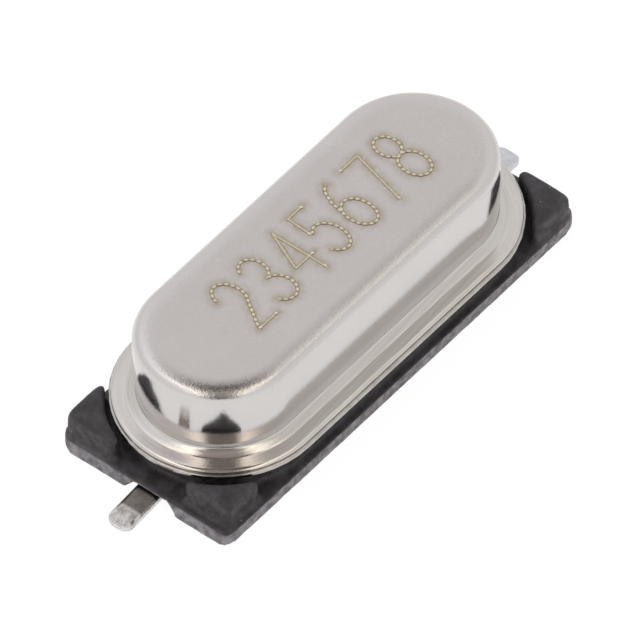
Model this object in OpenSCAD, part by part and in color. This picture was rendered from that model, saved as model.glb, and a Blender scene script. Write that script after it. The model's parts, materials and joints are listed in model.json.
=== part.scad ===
// Surface-mount quartz crystal in a low resistance-weld can on a moulded insulator.
// Millimetres, +Z up. The origin lies on the board plane, under the middle of the can.
// +X runs along the can, from the left lead to the right lead.

/* [Insulator] */
// Length of the insulator at the board
insulator_length = 11.56; // [11.5:0.02:12.4]
// Width of the insulator
insulator_width = 4.54; // [4.5:0.02:5.2]
// How far the insulator sits to the left of the can
shift_left = 0.04; // [0:0.01:0.05]
// How far the insulator sits to the front of the can
shift_front = 0.07; // [0:0.01:0.08]
// How much each end of the plate leans in over its height
end_draft = 0.07; // [0:0.01:0.1]
// Height of the outer edge of the insulator
plate_height = 0.32; // [0.3:0.01:0.5]
// Height of the seat that carries the header
seat_height = 0.75; // [0.68:0.01:1.2]
// Half width of the seat under the header flange
seat_half_width = 2.05; // [1.8:0.01:2.2]
// Radius of the left front and right rear corners
corner_small = 0.25; // [0.1:0.05:0.5]
// Radius of the left rear and right front corners
corner_large = 0.45; // [0.3:0.05:0.6]
// Height of the corner lugs above the board
lug_height = 0.9; // [0.7:0.01:1.3]
// Set-back from the long side for the lugs at the small corners
lug_side_small = 0.18; // [0.05:0.01:0.2]
// Set-back from the end for the lugs at the small corners
lug_end_small = 0.29; // [0.1:0.01:0.32]
// Set-back from the long side for the lugs at the large corners
lug_side_large = 0.08; // [0.05:0.01:0.2]
// Set-back from the end for the lugs at the large corners
lug_end_large = 0.17; // [0.1:0.01:0.32]
// Distance from the middle of the insulator to the inner end of each lug
lug_inner_x = 4.4; // [3.8:0.01:4.7]
// Distance from the long axis of the insulator to the inner end of each lug
lug_inner_y = 0.86; // [0.75:0.01:1.2]
// Gap between the header flange and each lug
lug_gap = 0.1; // [0.1:0.01:0.16]
// Radius of the corners of each lug
lug_corner = 0.15; // [0.1:0.01:0.2]
// Width of the bevel round the top of the lugs
lug_bevel = 0.05; // [0.02:0.01:0.1]

/* [Lead slots] */
// Gap on each side of the flat lead, at the roof of its slot
slot_side_gap = 0.15; // [0.12:0.01:0.3]
// How much wider each side of the mouth is at the board
slot_flare = 0.22; // [0.05:0.01:0.3]
// Length of the flared mouth
slot_mouth_length = 0.7; // [0.3:0.05:1.2]
// How far the middle of each slot lies to the front of its lead
slot_offset = 0.1; // [0:0.01:0.11]
// Clearance over the flat part of each lead
slot_clearance = 0.04; // [0.02:0.01:0.08]
// Clearance round the wire where it passes through the insulator
wire_clearance = 0.12; // [0.05:0.01:0.2]

/* [Header] */
// Length of the header flange
header_length = 10.92; // [10.4:0.02:11]
// Width of the header flange
header_width = 4.66; // [4.5:0.02:4.7]
// Thickness of the header flange
header_flange = 0.12; // [0.1:0.01:0.2]
// Thickness of the drawn header sheet
header_sheet = 0.2; // [0.12:0.01:0.25]
// Height of the raised middle of the header above the flange
header_rise = 0.58; // [0.5:0.01:0.7]
// Running gap between the raised middle and the can
header_gap = 0.1; // [0.05:0.01:0.2]
// Radius of the upper edge of the raised middle
header_round = 0.14; // [0.05:0.01:0.3]

/* [Can] */
// Width of the can over its straight wall
can_width = 3.64; // [3.5:0.01:3.8]
// Width of the can flange
can_flange_width = 4.5; // [4.3:0.01:4.6]
// Height of the can above the header flange
can_height = 1.92; // [1.85:0.01:3]
// Thickness of the can sheet
can_sheet = 0.2; // [0.15:0.01:0.22]
// Outer radius between the top and the wall
can_edge_radius = 0.3; // [0.2:0.01:0.4]
// Thickness of the flange at its rim
flange_rim = 0.1; // [0.08:0.01:0.11]
// Height above the header flange at which the wall turns out into the bevel
bevel_height = 0.22; // [0.22:0.01:0.3]
// Width of the bevel between the wall and the flange
bevel_width = 0.14; // [0.1:0.01:0.16]
// Slope of the bevel, degrees
bevel_slope = 30; // [24:1:34]
// Radius of the fillet between the bevel and the wall
bevel_fillet = 0.08; // [0.05:0.01:0.1]

/* [Leads] */
// Distance between the two lead wires
lead_pitch = 4.88; // [4.6:0.02:5]
// Diameter of the lead wire
wire_diameter = 0.43; // [0.35:0.01:0.5]
// Radius of the bend, on the middle of the wire
bend_radius = 0.36; // [0.32:0.01:0.4]
// Width of the flattened lead
flat_width = 0.6; // [0.5:0.01:0.65]
// Thickness of the flattened lead
flat_thickness = 0.2; // [0.15:0.01:0.22]
// Distance from the middle of the part to the left tip
lead_left_reach = 6.78; // [6.4:0.02:7.2]
// Distance from the middle of the part to the right tip
lead_right_reach = 6.25; // [6.1:0.05:7.2]
// Length over which the round wire becomes flat
flatten_length = 0.5; // [0.3:0.05:0.8]
// Plan radius of the corners of each tip
tip_corner = 0.16; // [0.05:0.01:0.2]
// Length of the sheared slope at each tip
tip_slope_length = 0.34; // [0.1:0.02:0.5]
// Depth of the sheared slope at each tip
tip_slope_depth = 0.07; // [0.02:0.01:0.1]
// Angle by which the left lead swings to the front
lead_left_swing = 3; // [0:0.5:3.5]
// Angle by which the right lead swings to the front
lead_right_swing = 1; // [0:0.5:2.5]
// Diameter of the nail head inside the can
head_diameter = 0.86; // [0.6:0.02:1]
// Thickness of the nail head
head_thickness = 0.12; // [0.08:0.01:0.2]
// Free wire between the glass and the nail head
head_lift = 0.1; // [0.05:0.01:0.2]
// Outer diameter of the glass beads
bead_diameter = 1.24; // [0.9:0.02:1.4]

/* [Resonator] */
// Length of the quartz blank
blank_length = 8; // [7.2:0.1:8.2]
// Width of the quartz blank
blank_width = 2; // [1.4:0.05:2.1]
// Thickness of the quartz blank
blank_thickness = 0.14; // [0.1:0.01:0.2]
// Bevel at the long edges of the blank
blank_bevel = 0.03; // [0.01:0.01:0.04]
// Thickness of the electrode films
film_thickness = 0.03; // [0.02:0.01:0.04]
// Length of the electrode in the middle of the blank
electrode_length = 4; // [2.5:0.1:5]
// Bare strip along each long side of the electrode
electrode_margin = 0.25; // [0.1:0.05:0.4]
// Width of the tab that leads to the end of the blank
tab_width = 0.6; // [0.4:0.05:0.8]
// Length of the film wrapped round the end of the blank
wrap_length = 0.5; // [0.3:0.05:0.6]
// Height of the underside of the blank's films above the nail heads
blank_lift = 0.38; // [0.3:0.01:0.4]
// Width of the support clips
clip_width = 0.9; // [0.6:0.05:1.2]
// Thickness of the clip strip
clip_sheet = 0.08; // [0.06:0.01:0.12]
// Length of blank that lies on each clip
clip_overlap = 0.6; // [0.4:0.05:0.8]
// Bend radius inside the clips
clip_bend = 0.06; // [0.03:0.01:0.08]
// Size of the cement bead at each end of the blank
cement_size = 0.13; // [0.08:0.01:0.18]

/* [Hidden] */
$fn = 96;
cut = 0.5;                        // how far a cutting body runs past what it cuts

// The can, the header and their flanges are all offsets of one spine.
spine = (header_length - header_width) / 2;
header_half = header_width / 2;
flange_top = seat_height + header_flange;
header_top = flange_top + header_rise;
can_half = can_width / 2;
can_top = flange_top + can_height;
can_inner_half = can_half - can_sheet;
rise_half = can_inner_half - header_gap;
bead_radius = bead_diameter / 2;
collar_radius = bead_radius + header_sheet;

wire_radius = wire_diameter / 2;
pin_x = lead_pitch / 2;
head_base = header_top + head_lift;
head_top = head_base + head_thickness;
slot_roof = flat_thickness + slot_clearance;
slot_roof_half = flat_width / 2 + slot_side_gap;
wire_hole = wire_radius + wire_clearance;

film_base = head_top + blank_lift;
blank_base = film_base + film_thickness;
blank_top = blank_base + blank_thickness;
blank_end = blank_length / 2;
shelf_start = blank_end - clip_overlap;
shelf_end = blank_end + film_thickness + cement_size;

// ---- Shapes that several pieces share ----

// Sweeps half a profile, drawn from the spine outwards, round the whole spine.
module round_spine() {
    for (end = [-1, 1]) {
        translate([end * spine, 0, 0])
            rotate([0, 0, -end * 90])
                rotate_extrude(angle = 180) children();
    }
    translate([-spine, 0, 0])
        rotate([90, 0, 90])
            linear_extrude(2 * spine) {
                children();
                mirror([1, 0]) children();
            }
}

// Half a profile with a flat base and a rounded upper corner.
module half_slab(half_width, base, top, radius) {
    translate([0, base]) square([half_width, top - base - radius]);
    translate([0, base]) square([half_width - radius, top - base]);
    translate([half_width - radius, top - radius]) circle(r = radius);
}

// A rectangle whose right end has two rounded corners.
module tipped_strip(start, end, half_width, radius) {
    translate([start, -half_width]) square([end - start - radius, 2 * half_width]);
    translate([start, radius - half_width]) square([end - start, 2 * (half_width - radius)]);
    for (side = [-1, 1]) {
        translate([end - radius, side * (half_width - radius)]) circle(r = radius);
    }
}

// ---- Insulator ----

module corner_block(radius) {
    // Quarter of the plate, from the middle to one rounded corner.
    length = insulator_length / 2;
    width = insulator_width / 2;
    square([length - radius, width]);
    square([length, width - radius]);
    translate([length - radius, width - radius]) circle(r = radius);
}

module end_slope() {
    // What the lean of the right end takes off the plate.
    end = insulator_length / 2;
    translate([0, insulator_width, 0])
        rotate([90, 0, 0])
            linear_extrude(2 * insulator_width)
                polygon([
                    [end, 0], [end + cut, 0], [end + cut, plate_height + cut],
                    [end - end_draft, plate_height + cut], [end - end_draft, plate_height]
                ]);
}

module plate() {
    difference() {
        linear_extrude(plate_height) {
            corner_block(corner_small);
            mirror([0, 1]) corner_block(corner_large);
            mirror([1, 0]) corner_block(corner_large);
            rotate(180) corner_block(corner_small);
        }
        end_slope();
        mirror([1, 0, 0]) end_slope();
    }
}

module lug_outline(end_inset, side_inset, inset) {
    // One lug in plan: a rounded block, cut back by the round of the header flange.
    outer_x = insulator_length / 2 - end_inset - inset;
    outer_y = insulator_width / 2 - side_inset - inset;
    inner_x = lug_inner_x + inset;
    inner_y = lug_inner_y + inset;
    corner = lug_corner;
    difference() {
        union() {
            translate([inner_x, inner_y + corner])
                square([outer_x - inner_x, outer_y - inner_y - 2 * corner]);
            translate([inner_x + corner, inner_y])
                square([outer_x - inner_x - 2 * corner, outer_y - inner_y]);
            for (x = [inner_x + corner, outer_x - corner], y = [inner_y + corner, outer_y - corner]) {
                translate([x, y]) circle(r = corner);
            }
        }
        translate([spine, 0]) circle(r = header_half + lug_gap + inset);
    }
}

module lug(end_inset, side_inset) {
    linear_extrude(lug_height - lug_bevel) lug_outline(end_inset, side_inset, 0);
    linear_extrude(lug_height) lug_outline(end_inset, side_inset, lug_bevel);
}

module seat_profile() {
    square([seat_half_width, seat_height]);
}

module slot(end, swing) {
    // Way of one lead under the insulator: a deep pocket at the bend, then a flat slot
    // that follows the lead and flares into the mouth at the end of the plate.
    pocket_end = pin_x + bend_radius + flatten_length + wire_clearance;
    half = slot_roof_half;
    mouth_half = half + slot_flare;
    shift = -tan(swing) * (end - pin_x) - slot_offset;
    translate([pin_x, 0, -cut]) cylinder(r = wire_hole, h = seat_height + 2 * cut);
    translate([pin_x - wire_hole, -half, -cut])
        cube([pocket_end - pin_x + wire_hole, 2 * half, wire_diameter + slot_clearance + cut]);
    translate([0, 0, -cut])
        linear_extrude(slot_roof + cut)
            polygon([
                [pin_x, -half], [pocket_end, -half], [end, shift - half], [end + cut, shift - half],
                [end + cut, shift + half], [end, shift + half], [pocket_end, half], [pin_x, half]
            ]);
    // The mouth widens downwards.
    translate([end - slot_mouth_length, shift, 0])
        rotate([90, 0, 90])
            linear_extrude(slot_mouth_length + cut)
                polygon([
                    [-mouth_half, -cut], [mouth_half, -cut], [mouth_half, 0],
                    [half, slot_roof], [-half, slot_roof], [-mouth_half, 0]
                ]);
}

module insulator_base() {
    color("#38332f")
    difference() {
        translate([-shift_left, -shift_front, 0]) {
            plate();
            round_spine() seat_profile();
            for (turn = [0, 180]) {
                rotate([0, 0, turn]) lug(lug_end_small, lug_side_small);
                rotate([0, 0, turn]) mirror([0, 1, 0]) lug(lug_end_large, lug_side_large);
            }
        }
        slot(insulator_length / 2 - shift_left, lead_right_swing);
        mirror([1, 0, 0]) slot(insulator_length / 2 + shift_left, lead_left_swing);
    }
}

// ---- Header and glass seals ----

module header_flange_profile() {
    edge = header_flange / 3;
    translate([0, seat_height]) square([header_half - edge, header_flange]);
    translate([0, seat_height + edge]) square([header_half, header_flange - 2 * edge]);
    for (level = [seat_height + edge, flange_top - edge]) {
        translate([header_half - edge, level]) circle(r = edge);
    }
}

module header() {
    color("#b9b5ae")
    difference() {
        union() {
            difference() {
                union() {
                    round_spine() header_flange_profile();
                    round_spine() half_slab(rise_half, seat_height, header_top, header_round);
                }
                // Underside of the drawn middle.
                round_spine()
                    translate([0, seat_height - cut])
                        square([rise_half - header_sheet, header_rise + header_flange + cut - header_sheet]);
            }
            for (side = [-1, 1]) {
                translate([side * pin_x, 0, seat_height])
                    cylinder(r = collar_radius, h = header_top - seat_height - header_sheet / 2);
            }
        }
        for (side = [-1, 1]) {
            translate([side * pin_x, 0, seat_height - cut])
                cylinder(r = bead_radius, h = header_top - seat_height + 2 * cut);
        }
    }
}

module glass_bead(side) {
    color("#5f6f58")
    translate([side * pin_x, 0, seat_height])
        difference() {
            cylinder(r = bead_radius, h = header_top - seat_height);
            translate([0, 0, -cut]) cylinder(r = wire_radius, h = header_top - seat_height + 2 * cut);
        }
}

module glass_bead_left() { glass_bead(-1); }
module glass_bead_right() { glass_bead(1); }

// ---- Can ----

module can_outer_profile() {
    rim = flange_rim / 2;
    flange_half = can_flange_width / 2;
    bevel_top = flange_top + bevel_height;
    half_slab(can_half, flange_top, can_top, can_edge_radius);
    // Bevel and flange, pressed thin by the weld out to the rim.
    polygon([
        [0, flange_top], [flange_half - rim, flange_top],
        [flange_half - rim, flange_top + flange_rim],
        [can_half + bevel_width, bevel_top - bevel_width * tan(bevel_slope)],
        [can_half, bevel_top], [0, bevel_top]
    ]);
    translate([flange_half - rim, flange_top + rim]) circle(r = rim);
    // Fillet from the bevel into the wall.
    fillet_x = can_half + bevel_fillet * (1 - sin(bevel_slope));
    fillet_top = bevel_top + bevel_fillet * (1 - sin(bevel_slope)) / cos(bevel_slope);
    difference() {
        polygon([
            [can_half - rim, fillet_top], [can_half, fillet_top],
            [fillet_x, fillet_top - bevel_fillet * cos(bevel_slope)],
            [fillet_x, flange_top + rim], [can_half - rim, flange_top + rim]
        ]);
        translate([can_half + bevel_fillet, fillet_top]) circle(r = bevel_fillet);
    }
}

module can() {
    color("#c9c5bf")
    difference() {
        round_spine() can_outer_profile();
        round_spine()
            half_slab(can_inner_half, flange_top - cut, can_top - can_sheet, can_edge_radius - can_sheet / 2);
    }
}

// ---- Leads ----

module flat_section() {
    // Section of the flattened wire, with round edges, standing on the board plane.
    half = flat_thickness / 2;
    translate([half - flat_width / 2, 0]) square([flat_width - flat_thickness, flat_thickness]);
    for (side = [-1, 1]) {
        translate([side * (flat_width / 2 - half), half]) circle(r = half);
    }
}

module lead(reach, swing) {
    // The right lead, with its wire on the Z axis. It points along +X.
    flat_start = bend_radius + flatten_length;
    tip = (reach - pin_x) / cos(swing);
    skin = 0.01;
    // Wire and nail head.
    translate([0, 0, wire_radius + bend_radius])
        cylinder(r = wire_radius, h = head_base - wire_radius - bend_radius);
    translate([0, 0, head_base]) cylinder(d = head_diameter, h = head_thickness);
    rotate([0, 0, -swing]) {
        // Bend.
        translate([bend_radius, 0, wire_radius + bend_radius])
            rotate([90, 0, 0])
                rotate([0, 0, 180])
                    rotate_extrude(angle = 90)
                        translate([bend_radius, 0]) circle(r = wire_radius);
        // Round wire pressed into the flat.
        hull() {
            translate([bend_radius, 0, wire_radius])
                rotate([0, 90, 0]) cylinder(r = wire_radius, h = skin, $fn = 32);
            translate([flat_start - skin, 0, 0])
                rotate([90, 0, 90]) linear_extrude(skin) flat_section($fn = 32);
        }
        // Flat part, with rounded corners and a sheared slope at its tip.
        difference() {
            intersection() {
                translate([flat_start - skin, 0, 0])
                    rotate([90, 0, 90]) linear_extrude(tip - flat_start + skin) flat_section();
                linear_extrude(flat_thickness)
                    tipped_strip(flat_start - skin, tip, flat_width / 2, tip_corner);
            }
            translate([0, flat_width, 0])
                rotate([90, 0, 0])
                    linear_extrude(2 * flat_width)
                        polygon([
                            [tip - tip_slope_length, flat_thickness],
                            [tip + cut, flat_thickness - tip_slope_depth * (tip_slope_length + cut) / tip_slope_length],
                            [tip + cut, flat_thickness + cut], [tip - tip_slope_length, flat_thickness + cut]
                        ]);
        }
    }
}

module lead_right() {
    color("#a9a5a0")
    translate([pin_x, 0, 0]) lead(lead_right_reach, lead_right_swing);
}

module lead_left() {
    color("#a9a5a0")
    translate([-pin_x, 0, 0]) mirror([1, 0, 0]) lead(lead_left_reach, lead_left_swing);
}

// ---- Resonator ----

module support_clip(side) {
    // Strip bent in a step: its foot lies on the nail head, its shelf carries the blank.
    foot_start = pin_x - head_diameter / 2;
    riser = shelf_start + clip_sheet;
    color("#b8b8ba")
    mirror([side < 0 ? 1 : 0, 0, 0])
        translate([0, clip_width / 2, 0])
            rotate([90, 0, 0])
                linear_extrude(clip_width) {
                    translate([foot_start, head_top]) square([riser - foot_start, clip_sheet]);
                    translate([shelf_start, head_top]) square([clip_sheet, film_base - head_top]);
                    translate([shelf_start, film_base - clip_sheet])
                        square([shelf_end - shelf_start, clip_sheet]);
                    clip_corner(shelf_start, head_top + clip_sheet, -1, 1);
                    clip_corner(riser, film_base - clip_sheet, 1, -1);
                }
}

module clip_corner(x, z, away, up) {
    // Inside of a bend: a square corner filled by a concave quarter.
    difference() {
        translate([x + (away < 0 ? -clip_bend : 0), z + (up < 0 ? -clip_bend : 0)]) square(clip_bend);
        translate([x + away * clip_bend, z + up * clip_bend]) circle(r = clip_bend);
    }
}

module support_clip_left() { support_clip(-1); }
module support_clip_right() { support_clip(1); }

module quartz_blank() {
    half = blank_width / 2;
    color("#dfe6ea")
    translate([-blank_end, 0, 0])
        rotate([90, 0, 90])
            linear_extrude(blank_length)
                polygon([
                    [blank_bevel - half, blank_base], [half - blank_bevel, blank_base],
                    [half, blank_base + blank_bevel], [half, blank_top - blank_bevel],
                    [half - blank_bevel, blank_top], [blank_bevel - half, blank_top],
                    [-half, blank_top - blank_bevel], [-half, blank_base + blank_bevel]
                ]);
}

module electrode_film() {
    // Film on the top face, with a tab that runs to the right end and wraps round it.
    width = blank_width - 2 * electrode_margin;
    translate([-electrode_length / 2, -width / 2, blank_top])
        cube([electrode_length, width, film_thickness]);
    translate([0, -tab_width / 2, blank_top])
        cube([blank_end + film_thickness, tab_width, film_thickness]);
    translate([blank_end, -tab_width / 2, blank_base - film_thickness])
        cube([film_thickness, tab_width, blank_thickness + 2 * film_thickness]);
    translate([blank_end - wrap_length, -tab_width / 2, blank_base - film_thickness])
        cube([wrap_length + film_thickness, tab_width, film_thickness]);
}

module electrode_upper() {
    color("#d8d8d6") electrode_film();
}

module electrode_lower() {
    // The same film, turned over end for end.
    color("#d8d8d6")
    translate([0, 0, blank_base + blank_top])
        rotate([0, 180, 0]) electrode_film();
}

module cement(side) {
    // Bead of conductive cement in the corner of shelf and film.
    color("#8d8f8c")
    mirror([side < 0 ? 1 : 0, 0, 0])
        translate([blank_end + film_thickness, tab_width / 2, film_base])
            rotate([90, 0, 0])
                linear_extrude(tab_width)
                    intersection() {
                        circle(r = cement_size);
                        square(cement_size);
                    }
}

module cement_left() { cement(-1); }
module cement_right() { cement(1); }

insulator_base();
header();
glass_bead_left();
glass_bead_right();
lead_left();
lead_right();
can();
support_clip_left();
support_clip_right();
quartz_blank();
electrode_upper();
electrode_lower();
cement_left();
cement_right();
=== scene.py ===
import json
import math

import bmesh
import bpy
from mathutils import Matrix, Vector, noise


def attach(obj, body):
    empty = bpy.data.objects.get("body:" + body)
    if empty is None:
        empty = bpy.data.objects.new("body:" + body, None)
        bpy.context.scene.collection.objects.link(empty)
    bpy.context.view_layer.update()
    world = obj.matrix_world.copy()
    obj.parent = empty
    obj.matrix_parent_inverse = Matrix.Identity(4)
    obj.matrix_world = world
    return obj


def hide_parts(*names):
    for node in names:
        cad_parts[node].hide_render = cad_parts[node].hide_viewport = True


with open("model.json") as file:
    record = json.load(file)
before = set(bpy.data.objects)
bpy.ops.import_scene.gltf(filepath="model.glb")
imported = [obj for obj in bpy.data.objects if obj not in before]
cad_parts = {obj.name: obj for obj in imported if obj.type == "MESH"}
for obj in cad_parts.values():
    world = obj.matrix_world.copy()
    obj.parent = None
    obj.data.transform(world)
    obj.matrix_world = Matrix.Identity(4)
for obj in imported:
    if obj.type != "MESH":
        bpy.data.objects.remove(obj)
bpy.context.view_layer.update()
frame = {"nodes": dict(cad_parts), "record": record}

# sizes in the dictionaries are in mm and degrees
mm = 0.001
mergeDistance = 0.0005 * mm
scene = bpy.context.scene
print("frame loaded:", len(frame["nodes"]), "pieces")


def blend(low, high, share):
    return low + (high - low) * share


def addMesh(name, bm, smoothAngle=35):
    bm.normal_update()
    mesh = bpy.data.meshes.new(name)
    bm.to_mesh(mesh)
    bm.free()
    piece = bpy.data.objects.new(name, mesh)
    scene.collection.objects.link(piece)
    mesh.shade_smooth()
    mesh.set_sharp_from_angle(angle=math.radians(smoothAngle))
    return piece


def spineStations(spine, arcSteps, straightSteps):
    # points along the middle line and the outward direction at each of them
    stations = []
    for end, start in ((1, -90), (-1, 90)):
        for step in range(arcSteps + 1):
            turn = math.radians(start + 180 * step / arcSteps)
            outward = Vector((math.cos(turn), math.sin(turn), 0))
            stations.append((Vector((end * spine, 0, 0)), outward))
        for step in range(1, straightSteps):
            along = end * spine * (1 - 2 * step / straightSteps)
            stations.append((Vector((along, 0, 0)), Vector((0, end, 0))))
    return stations


def sweepRound(name, profile, stations):
    # carries a half profile of (distance, height) pairs round the whole middle line
    bm = bmesh.new()
    rings = []
    for middle, outward in stations:
        rings.append([bm.verts.new((middle + outward * r + Vector((0, 0, z))) * mm) for r, z in profile])
    for index, ring in enumerate(rings):
        after = rings[(index + 1) % len(rings)]
        for k in range(len(profile) - 1):
            bm.faces.new((ring[k], after[k], after[k + 1], ring[k + 1]))
    bmesh.ops.remove_doubles(bm, verts=bm.verts, dist=mergeDistance)
    bmesh.ops.recalc_face_normals(bm, faces=bm.faces)
    return addMesh(name, bm)


def skinRings(bm, rings):
    # sides between neighbouring rings and a cap at each end
    count = len(rings[0])
    for a, b in zip(rings, rings[1:]):
        for k in range(count):
            m = (k + 1) % count
            bm.faces.new((a[k], a[m], b[m], b[k]))
    bm.faces.new(list(reversed(rings[0])))
    bm.faces.new(rings[-1])


def arcPoints(cx, cz, radius, start, end, steps):
    points = []
    for step in range(steps + 1):
        turn = math.radians(start + (end - start) * step / steps)
        points.append((cx + radius * math.cos(turn), cz + radius * math.sin(turn)))
    return points


def linePoints(a, b, steps):
    # the points between a and b, without the two ends
    return [(a[0] + (b[0] - a[0]) * k / steps, a[1] + (b[1] - a[1]) * k / steps) for k in range(1, steps)]


def newMaterial(name):
    material = bpy.data.materials.new(name)
    material.use_nodes = True
    tree = material.node_tree
    return material, tree, tree.nodes["Principled BSDF"]


def addNode(tree, kind, **settings):
    node = tree.nodes.new(kind)
    for key, value in settings.items():
        setattr(node, key, value)
    return node


def attribute(tree, name):
    return addNode(tree, "ShaderNodeAttribute", attribute_name=name).outputs["Fac"]


def objectPlace(tree, stretch=(1, 1, 1)):
    # the piece's own coordinates in mm
    where = addNode(tree, "ShaderNodeTexCoord")
    size = addNode(tree, "ShaderNodeMapping")
    size.inputs["Scale"].default_value = [s / mm for s in stretch]
    tree.links.new(where.outputs["Object"], size.inputs["Vector"])
    return size.outputs["Vector"]


def noiseAt(tree, place, scale, detail, roughness):
    pattern = addNode(tree, "ShaderNodeTexNoise")
    pattern.inputs["Scale"].default_value = scale
    pattern.inputs["Detail"].default_value = detail
    pattern.inputs["Roughness"].default_value = roughness
    tree.links.new(place, pattern.inputs["Vector"])
    return pattern.outputs["Fac"]


def objectNoise(tree, scale, detail, roughness=0.55, stretch=(1, 1, 1)):
    # scale is in features per mm
    return noiseAt(tree, objectPlace(tree, stretch), scale, detail, roughness)


def ramp(tree, source, stops):
    node = addNode(tree, "ShaderNodeValToRGB")
    edges = node.color_ramp.elements
    while len(edges) < len(stops):
        edges.new(0.5)
    for edge, (place, colour) in zip(edges, stops):
        edge.position = place
        edge.color = (*colour, 1)
    tree.links.new(source, node.inputs["Fac"])
    return node.outputs["Color"]


def toneRamp(tree, source, tones, places=(0.3, 0.7)):
    return ramp(tree, source, tuple(zip(places, tones)))


def greyRamp(tree, source, levels, places=(0.35, 0.65)):
    return toneRamp(tree, source, [(level,) * 3 for level in levels], places)


def mixColours(tree, factor, a, b, mode="MIX"):
    node = addNode(tree, "ShaderNodeMix", data_type="RGBA", blend_type=mode)
    for socket, value in (("Factor", factor), ("A", a), ("B", b)):
        target = [s for s in node.inputs if s.name == socket and s.enabled][0]
        if isinstance(value, (int, float)):
            target.default_value = value
        elif isinstance(value, tuple):
            target.default_value = (*value, 1)
        else:
            tree.links.new(value, target)
    return [s for s in node.outputs if s.enabled][0]


def mathNode(tree, operation, *values):
    node = addNode(tree, "ShaderNodeMath", operation=operation)
    for index, value in enumerate(values):
        if isinstance(value, (int, float)):
            node.inputs[index].default_value = value
        else:
            tree.links.new(value, node.inputs[index])
    return node.outputs["Value"]


def product(tree, a, b):
    return mathNode(tree, "MULTIPLY", a, b)


def smoothRange(tree, source, span, unit=1):
    # a soft step from 0 at the first end of the span to 1 at the second
    node = addNode(tree, "ShaderNodeMapRange", interpolation_type="SMOOTHSTEP")
    node.inputs["From Min"].default_value = span[0] * unit
    node.inputs["From Max"].default_value = span[1] * unit
    tree.links.new(source, node.inputs["Value"])
    return node.outputs["Result"]


def addBump(tree, shader, height, strength, distance):
    bump = addNode(tree, "ShaderNodeBump")
    bump.inputs["Strength"].default_value = strength
    bump.inputs["Distance"].default_value = distance * mm
    tree.links.new(height, bump.inputs["Height"])
    tree.links.new(bump.outputs["Normal"], shader.inputs["Normal"])


def vectorPart(tree, vector, axis):
    split = addNode(tree, "ShaderNodeSeparateXYZ")
    tree.links.new(vector, split.inputs["Vector"])
    return split.outputs[axis]


def normalPart(tree, axis):
    return vectorPart(tree, addNode(tree, "ShaderNodeNewGeometry").outputs["Normal"], axis)


def placePart(tree, axis):
    return vectorPart(tree, addNode(tree, "ShaderNodeTexCoord").outputs["Object"], axis)


def plainMaterial(name, tones, metallic, roughness, scale=6, clearness=0.0):
    material, tree, shader = newMaterial(name)
    tone = objectNoise(tree, scale, 3)
    tree.links.new(toneRamp(tree, tone, tones), shader.inputs["Base Color"])
    shader.inputs["Metallic"].default_value = metallic
    shader.inputs["Roughness"].default_value = roughness
    shader.inputs["Transmission Weight"].default_value = clearness
    return material


def finishPiece(piece, material, slotName, *replaced):
    piece.data.materials.clear()
    piece.data.materials.append(material)
    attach(piece, "root")
    if replaced:
        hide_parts(*replaced)


marks = {
    "text": "2345678",
    "firstX": -2.61,        # left edge of the first digit
    "baseY": -0.62,         # foot of the digits
    "height": 1.45,
    "width": 0.58,
    "pitch": 0.872,
    "strokeHalf": 0.046,
    "strokeRise": 0.01,
    "strokeSink": 0.0015,   # keeps the foot of a stroke just inside the can
    "strokeSides": 10,
    "strokeStep": 0.012,
    "ridge": 1.5,           # above 1 the flanks of a stroke stay dark, partly real scorch and partly painted shade
    "beadPitch": 0.135,     # curved strokes are rows of beads
    "beadRound": 0.7,
    "beadWaist": 0.74,
    # the crest of each bead is painted bright as a highlight, the waist between beads darker
    "beadShine": (0.22, 0.90),
    "straightHalf": 0.86,
    "straightShine": 0.72,
    "spotReach": 0.07,      # straight strokes end in a wider spot, painted bright as a highlight
    "spotHalf": 1.15,
    "spotShine": 1.0,
    "taperReach": 0.03,
    "taperHalf": 0.4,
    "tones": ((0.0, (0.15, 0.115, 0.065)), (0.35, (0.40, 0.335, 0.21)),
              (0.75, (0.82, 0.76, 0.58)), (1.0, (1.0, 0.98, 0.90))),
    "grain": (20, 2),
    "grainLevels": (0.78, 1.0),
    "roughness": 0.3,
    "smoothAngle": 60,
    "haloReach": 0.26,      # scorched metal round the strokes
    "haloFade": 1.6,
    "haloStep": 0.04,
    "haloHalf": 1.4,        # half width of the strip that can be scorched
    "haloDepth": 0.01,
}


def bow(cx, cy, rx, ry, start, end):
    # part of an ellipse
    steps = max(6, int(abs(end - start) / 12))
    turns = [math.radians(start + (end - start) * k / steps) for k in range(steps + 1)]
    return [(cx + rx * math.cos(turn), cy + ry * math.sin(turn)) for turn in turns]


# in a cell 1 wide and 1 high, each stroke as (is it curved, points)
digitStrokes = {
    "2": (
        (True, bow(0.5, 0.7, 0.5, 0.3, 165, -30) + [(0.5, 0.3), (0.0, 0.0)]),
        (False, [(0.0, 0.0), (1.0, 0.0)]),
    ),
    "3": (
        (True, bow(0.48, 0.76, 0.46, 0.24, 155, -90)),
        (True, bow(0.48, 0.26, 0.52, 0.26, 90, -155)),
    ),
    "4": (
        (False, [(0.75, 0.0), (0.75, 1.0), (0.0, 0.32), (1.0, 0.32)]),
    ),
    "5": (
        (False, [(0.92, 1.0), (0.12, 1.0), (0.06, 0.56)]),
        (True, [(0.06, 0.56)] + bow(0.46, 0.31, 0.52, 0.31, 125, -150)),
    ),
    "6": (
        (True, bow(0.5, 0.3, 0.5, 0.3, 160, -200)),
        (True, [(0.03, 0.4), (0.2, 0.72), (0.45, 0.93), (0.72, 1.0)]),
    ),
    "7": (
        (False, [(0.0, 1.0), (1.0, 1.0), (0.35, 0.0)]),
    ),
    "8": (
        (True, bow(0.5, 0.77, 0.42, 0.23, -90, 270)),
        (True, bow(0.5, 0.27, 0.5, 0.27, 90, -270)),
    ),
}


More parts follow.
